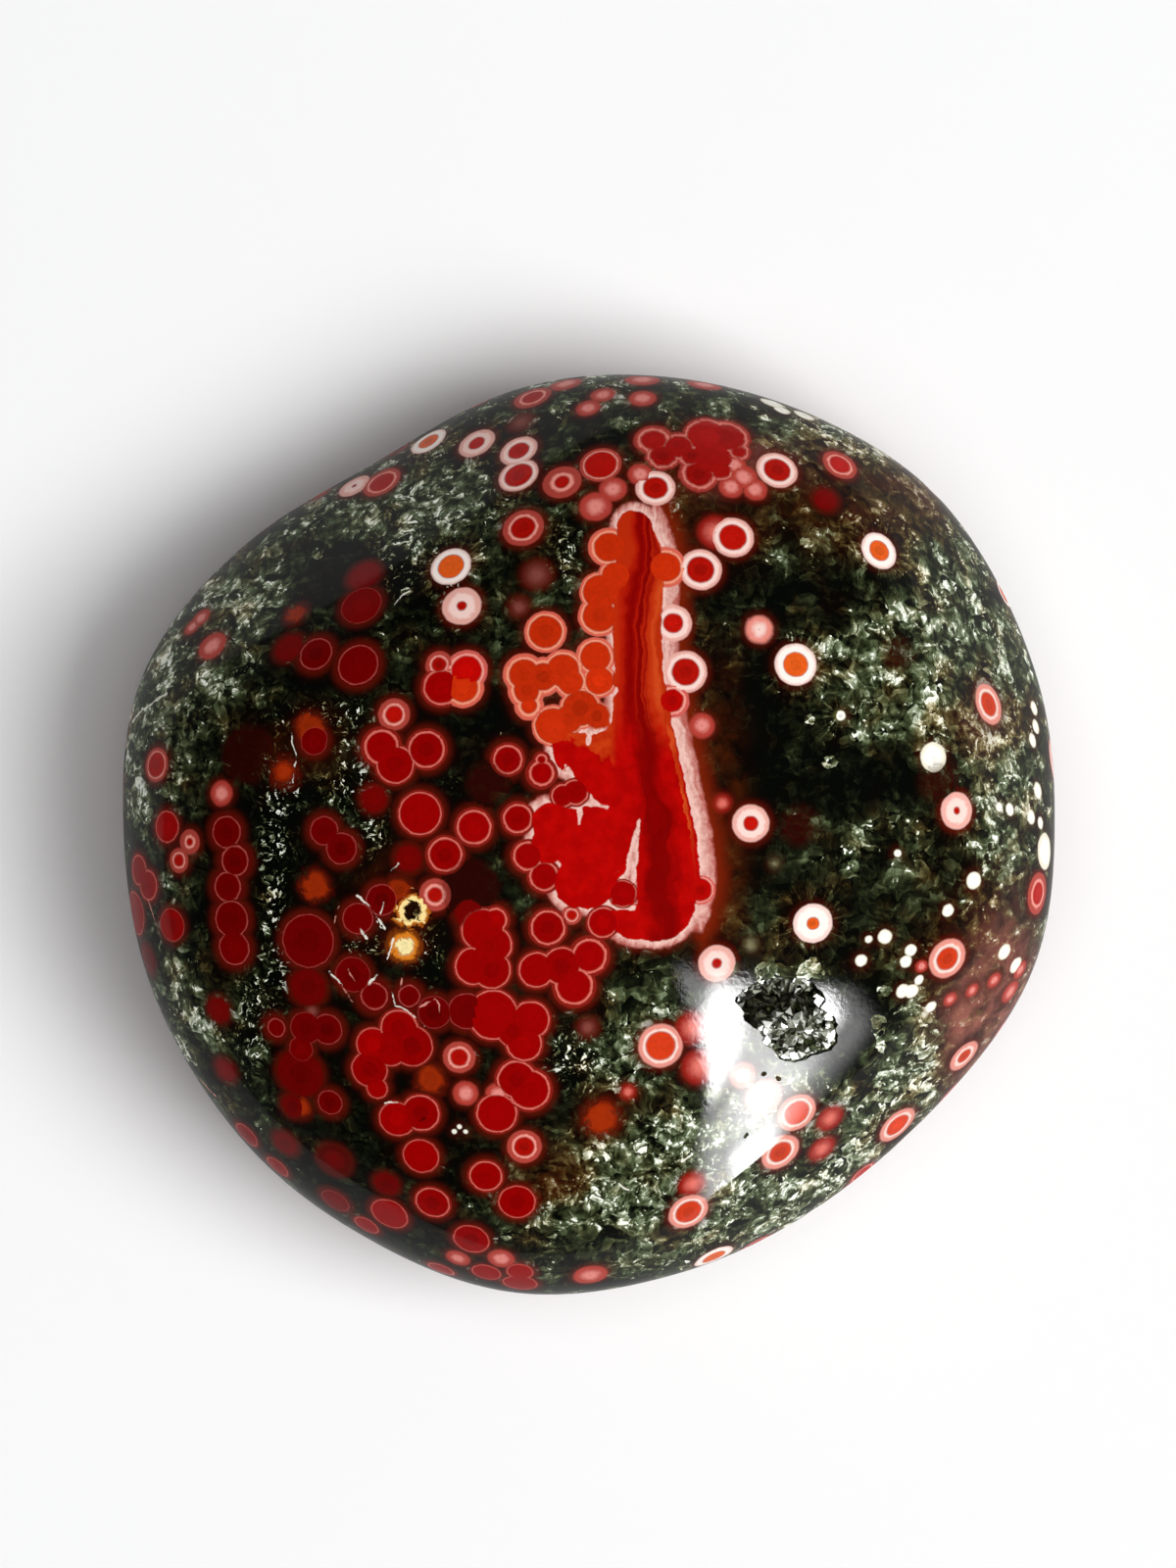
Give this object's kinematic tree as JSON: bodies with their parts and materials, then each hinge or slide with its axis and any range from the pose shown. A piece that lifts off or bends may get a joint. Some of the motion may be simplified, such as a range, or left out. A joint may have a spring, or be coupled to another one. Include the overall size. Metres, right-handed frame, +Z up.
{
  "type": "ocean jasper palm stone",
  "caption": "Polished rounded palm stone with a flattened pebble shape, a small flat spot to rest on and a small open pocket lined with crystals.",
  "frame": {"origin": "on the surface that the stone rests on, under the middle of its outline", "axes": "+Z up out of the flat spot, through the domed face; +X along the longest width, +Y across it"},
  "size_m": [0.0756, 0.0747, 0.0333],
  "materials": {
    "jasper": "polished",
    "quartz": "natural crystal faces"
  },
  "bodies": {
    "root": {"stone": "jasper", "pocket_crystals": "quartz"}
  },
  "joints": []
}
